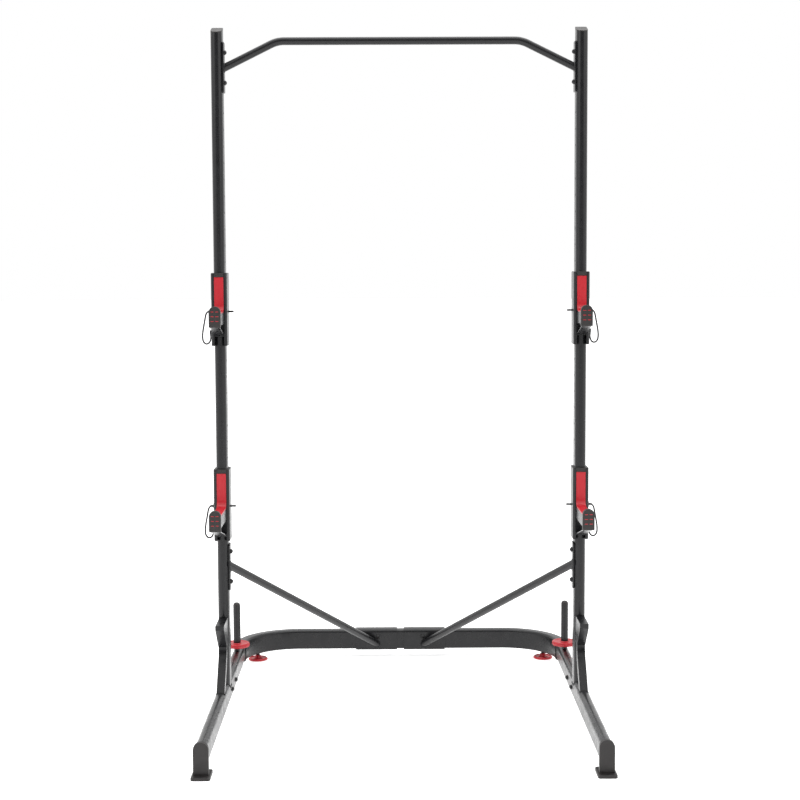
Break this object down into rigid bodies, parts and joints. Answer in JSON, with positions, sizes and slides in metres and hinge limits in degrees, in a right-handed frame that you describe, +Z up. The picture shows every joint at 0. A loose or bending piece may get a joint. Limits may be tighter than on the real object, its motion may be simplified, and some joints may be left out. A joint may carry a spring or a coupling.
{
  "type": "power cage",
  "caption": "Half rack with two posts on long feet, bent rear base with braces, chin-up bar, sliding pinned bar hooks and catch arms, and plate pegs.",
  "frame": {"origin": "on the floor at the middle of the rack's footprint, lanyards left out", "axes": "+Z up, -Y the open front where the lifter stands, +X to the right seen from the front"},
  "size_m": [1.237, 1.465, 2.138],
  "materials": {
    "frame_steel": "satin charcoal powder coat",
    "black_plastic": "moulded matte black",
    "red_plastic": "moulded satin red",
    "black_hardware": "black oxide",
    "bare_steel": "zinc plated",
    "lanyard_cord": "braided black cord"
  },
  "bodies": {
    "root": {"base_sleeve_left": "frame_steel", "base_sleeve_right": "frame_steel", "base_spigot": "bare_steel", "base_tube_left": "frame_steel", "base_tube_right": "frame_steel", "brace_left": "frame_steel", "brace_right": "frame_steel", "chin_up_bar": "frame_steel", "foot_cap_left": "black_plastic", "foot_cap_right": "black_plastic", "foot_spigot_left": "bare_steel", "foot_spigot_right": "bare_steel", "frame_screws": "black_hardware", "front_foot_left": "frame_steel", "front_foot_right": "frame_steel", "knee_shelf_left": "frame_steel", "knee_shelf_right": "frame_steel", "knee_strut_left": "frame_steel", "knee_strut_right": "frame_steel", "peg_cap_left": "black_plastic", "peg_cap_right": "black_plastic", "peg_disc_left": "red_plastic", "peg_disc_right": "red_plastic", "plate_peg_left": "frame_steel", "plate_peg_right": "frame_steel", "post_cap_left": "black_plastic", "post_cap_right": "black_plastic", "post_left": "frame_steel", "post_right": "frame_steel", "rear_foot_left": "frame_steel", "rear_foot_right": "frame_steel"},
    "leveller_left_disc": {"leveller_disc_left": "red_plastic"},
    "leveller_right_disc": {"leveller_disc_right": "red_plastic"},
    "leveller_left": {"leveller_stem_left": "black_hardware"},
    "leveller_right": {"leveller_stem_right": "black_hardware"},
    "lower_left_carriage": {"lower_bushes_left": "black_plastic", "lower_carriage_left": "frame_steel", "lower_liner_left": "red_plastic", "lower_tip_left": "black_plastic"},
    "lower_right_carriage": {"lower_bushes_right": "black_plastic", "lower_carriage_right": "frame_steel", "lower_liner_right": "red_plastic", "lower_tip_right": "black_plastic"},
    "lower_left_lock": {"lower_lanyard_left": "lanyard_cord", "lower_pin_left": "black_hardware"},
    "lower_right_lock": {"lower_lanyard_right": "lanyard_cord", "lower_pin_right": "black_hardware"},
    "upper_left_carriage": {"upper_bushes_left": "black_plastic", "upper_carriage_left": "frame_steel", "upper_liner_left": "red_plastic", "upper_tip_left": "black_plastic"},
    "upper_right_carriage": {"upper_bushes_right": "black_plastic", "upper_carriage_right": "frame_steel", "upper_liner_right": "red_plastic", "upper_tip_right": "black_plastic"},
    "upper_left_lock": {"upper_lanyard_left": "lanyard_cord", "upper_pin_left": "black_hardware"},
    "upper_right_lock": {"upper_lanyard_right": "lanyard_cord", "upper_pin_right": "black_hardware"}
  },
  "joints": [
    {"name": "upper_left_height", "type": "slide", "parent": "root", "child": "upper_left_carriage", "axis": [0, 0, 1], "range_m": [-0.1016, 0.508]},
    {"name": "lower_left_height", "type": "slide", "parent": "root", "child": "lower_left_carriage", "axis": [0, 0, 1], "range_m": [0, 0.3048]},
    {"name": "upper_left_pin_pull", "type": "slide", "parent": "upper_left_carriage", "child": "upper_left_lock", "axis": [-1, 0, 0], "range_m": [0, 0.075]},
    {"name": "lower_left_pin_pull", "type": "slide", "parent": "lower_left_carriage", "child": "lower_left_lock", "axis": [-1, 0, 0], "range_m": [0, 0.075]},
    {"name": "leveller_left_height", "type": "slide", "parent": "root", "child": "leveller_left", "axis": [0, 0, -1], "range_m": [0, 0.012]},
    {"name": "leveller_left_turn", "type": "hinge", "parent": "leveller_left", "child": "leveller_left_disc", "pos_m": [-0.51034, 0.65568, 0], "axis": [0, 0, 1], "range_deg": [0, 2160]},
    {"name": "upper_right_height", "type": "slide", "parent": "root", "child": "upper_right_carriage", "axis": [0, 0, 1], "range_m": [-0.1016, 0.508]},
    {"name": "lower_right_height", "type": "slide", "parent": "root", "child": "lower_right_carriage", "axis": [0, 0, 1], "range_m": [0, 0.3048]},
    {"name": "upper_right_pin_pull", "type": "slide", "parent": "upper_right_carriage", "child": "upper_right_lock", "axis": [1, 0, 0], "range_m": [0, 0.075]},
    {"name": "lower_right_pin_pull", "type": "slide", "parent": "lower_right_carriage", "child": "lower_right_lock", "axis": [1, 0, 0], "range_m": [0, 0.075]},
    {"name": "leveller_right_height", "type": "slide", "parent": "root", "child": "leveller_right", "axis": [0, 0, -1], "range_m": [0, 0.012]},
    {"name": "leveller_right_turn", "type": "hinge", "parent": "leveller_right", "child": "leveller_right_disc", "pos_m": [0.51034, 0.65568, 0], "axis": [0, 0, 1], "range_deg": [0, 2160]}
  ],
  "couplings": [
    {"joint": "leveller_left_turn", "follows": "leveller_left_height", "rad_per_m": 3141.6},
    {"joint": "leveller_right_turn", "follows": "leveller_right_height", "rad_per_m": 3141.6}
  ]
}
